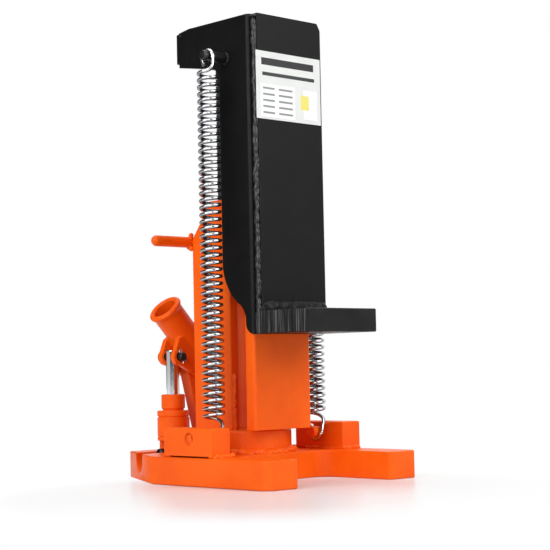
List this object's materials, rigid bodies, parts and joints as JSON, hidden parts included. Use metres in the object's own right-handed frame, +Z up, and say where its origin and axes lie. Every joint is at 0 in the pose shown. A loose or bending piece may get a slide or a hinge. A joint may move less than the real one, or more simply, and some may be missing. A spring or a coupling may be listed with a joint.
{
  "type": "hydraulic machine jack",
  "caption": "Free-standing hydraulic machine jack: a forked base, a column with a ram, a spring-returned lifting claw with a low toe and a head, and a side hand pump.",
  "frame": {"origin": "on the ground under the ram's axis", "axes": "+Z up along the ram, -Y towards the toe, +X to the right of someone who stands behind the pump"},
  "size_m": [0.185, 0.2395, 0.4114],
  "materials": {
    "orange_paint": "gloss enamel",
    "black_paint": "satin enamel",
    "zinc_wire": "bright zinc plate",
    "chrome_rod": "hard chrome",
    "dark_steel": "black oxide",
    "bare_steel": "machined",
    "bronze": "machined",
    "rubber": "matt",
    "label_sheet": "printed sheet"
  },
  "bodies": {
    "base": {"base_plate": "orange_paint", "carry_bar": "orange_paint", "check_plug": "dark_steel", "filler_plug": "rubber", "foot": "orange_paint", "fulcrum_bracket": "orange_paint", "fulcrum_pin": "dark_steel", "fulcrum_split_pin": "zinc_wire", "guide_block": "orange_paint", "guide_bush": "bronze", "inlet_ball": "bare_steel", "left_frame_plate": "orange_paint", "left_lower_spring_pin": "orange_paint", "left_return_spring": "zinc_wire", "left_spring_bar": "orange_paint", "outlet_ball": "bare_steel", "plunger_packing": "rubber", "pressure_cylinder": "bare_steel", "pump_barrel": "orange_paint", "pump_block": "orange_paint", "pump_gland_nut": "orange_paint", "right_frame_plate": "orange_paint", "right_lower_spring_pin": "orange_paint", "right_return_spring": "zinc_wire", "right_spring_bar": "orange_paint", "tank_tube": "orange_paint", "top_nut": "orange_paint", "wiper_ring": "rubber"},
    "claw": {"claw_front_plate": "black_paint", "claw_head_block": "black_paint", "label_plate": "label_sheet", "left_claw_side": "black_paint", "left_upper_spring_pin": "black_paint", "piston_seal": "rubber", "ram": "dark_steel", "right_claw_side": "black_paint", "right_upper_spring_pin": "black_paint", "toe": "black_paint"},
    "handle": {"handle_socket": "orange_paint"},
    "plunger": {"plunger": "chrome_rod", "plunger_pin": "dark_steel", "plunger_split_pin": "zinc_wire"},
    "release": {"release_screw": "dark_steel"}
  },
  "joints": [
    {"name": "claw_lift", "type": "slide", "parent": "base", "child": "claw", "axis": [0, 0, 1], "range_m": [-0.125, 0], "deforming": ["left_return_spring", "right_return_spring"]},
    {"name": "handle_swing", "type": "hinge", "parent": "base", "child": "handle", "pos_m": [-0.0005, 0.071, 0.10001], "axis": [0, -1, 0], "range_deg": [0, 50]},
    {"name": "plunger_stroke", "type": "slide", "parent": "base", "child": "plunger", "axis": [0, 0, 1], "range_m": [-0.0225, 0]},
    {"name": "release_valve_turn", "type": "hinge", "parent": "base", "child": "release", "pos_m": [-0.03, 0.071, 0.023], "axis": [1, 0, 0], "range_deg": [0, 180]}
  ],
  "couplings": [
    {"joint": "plunger_stroke", "follows": "handle_swing", "m_per_rad": -0.025672}
  ]
}
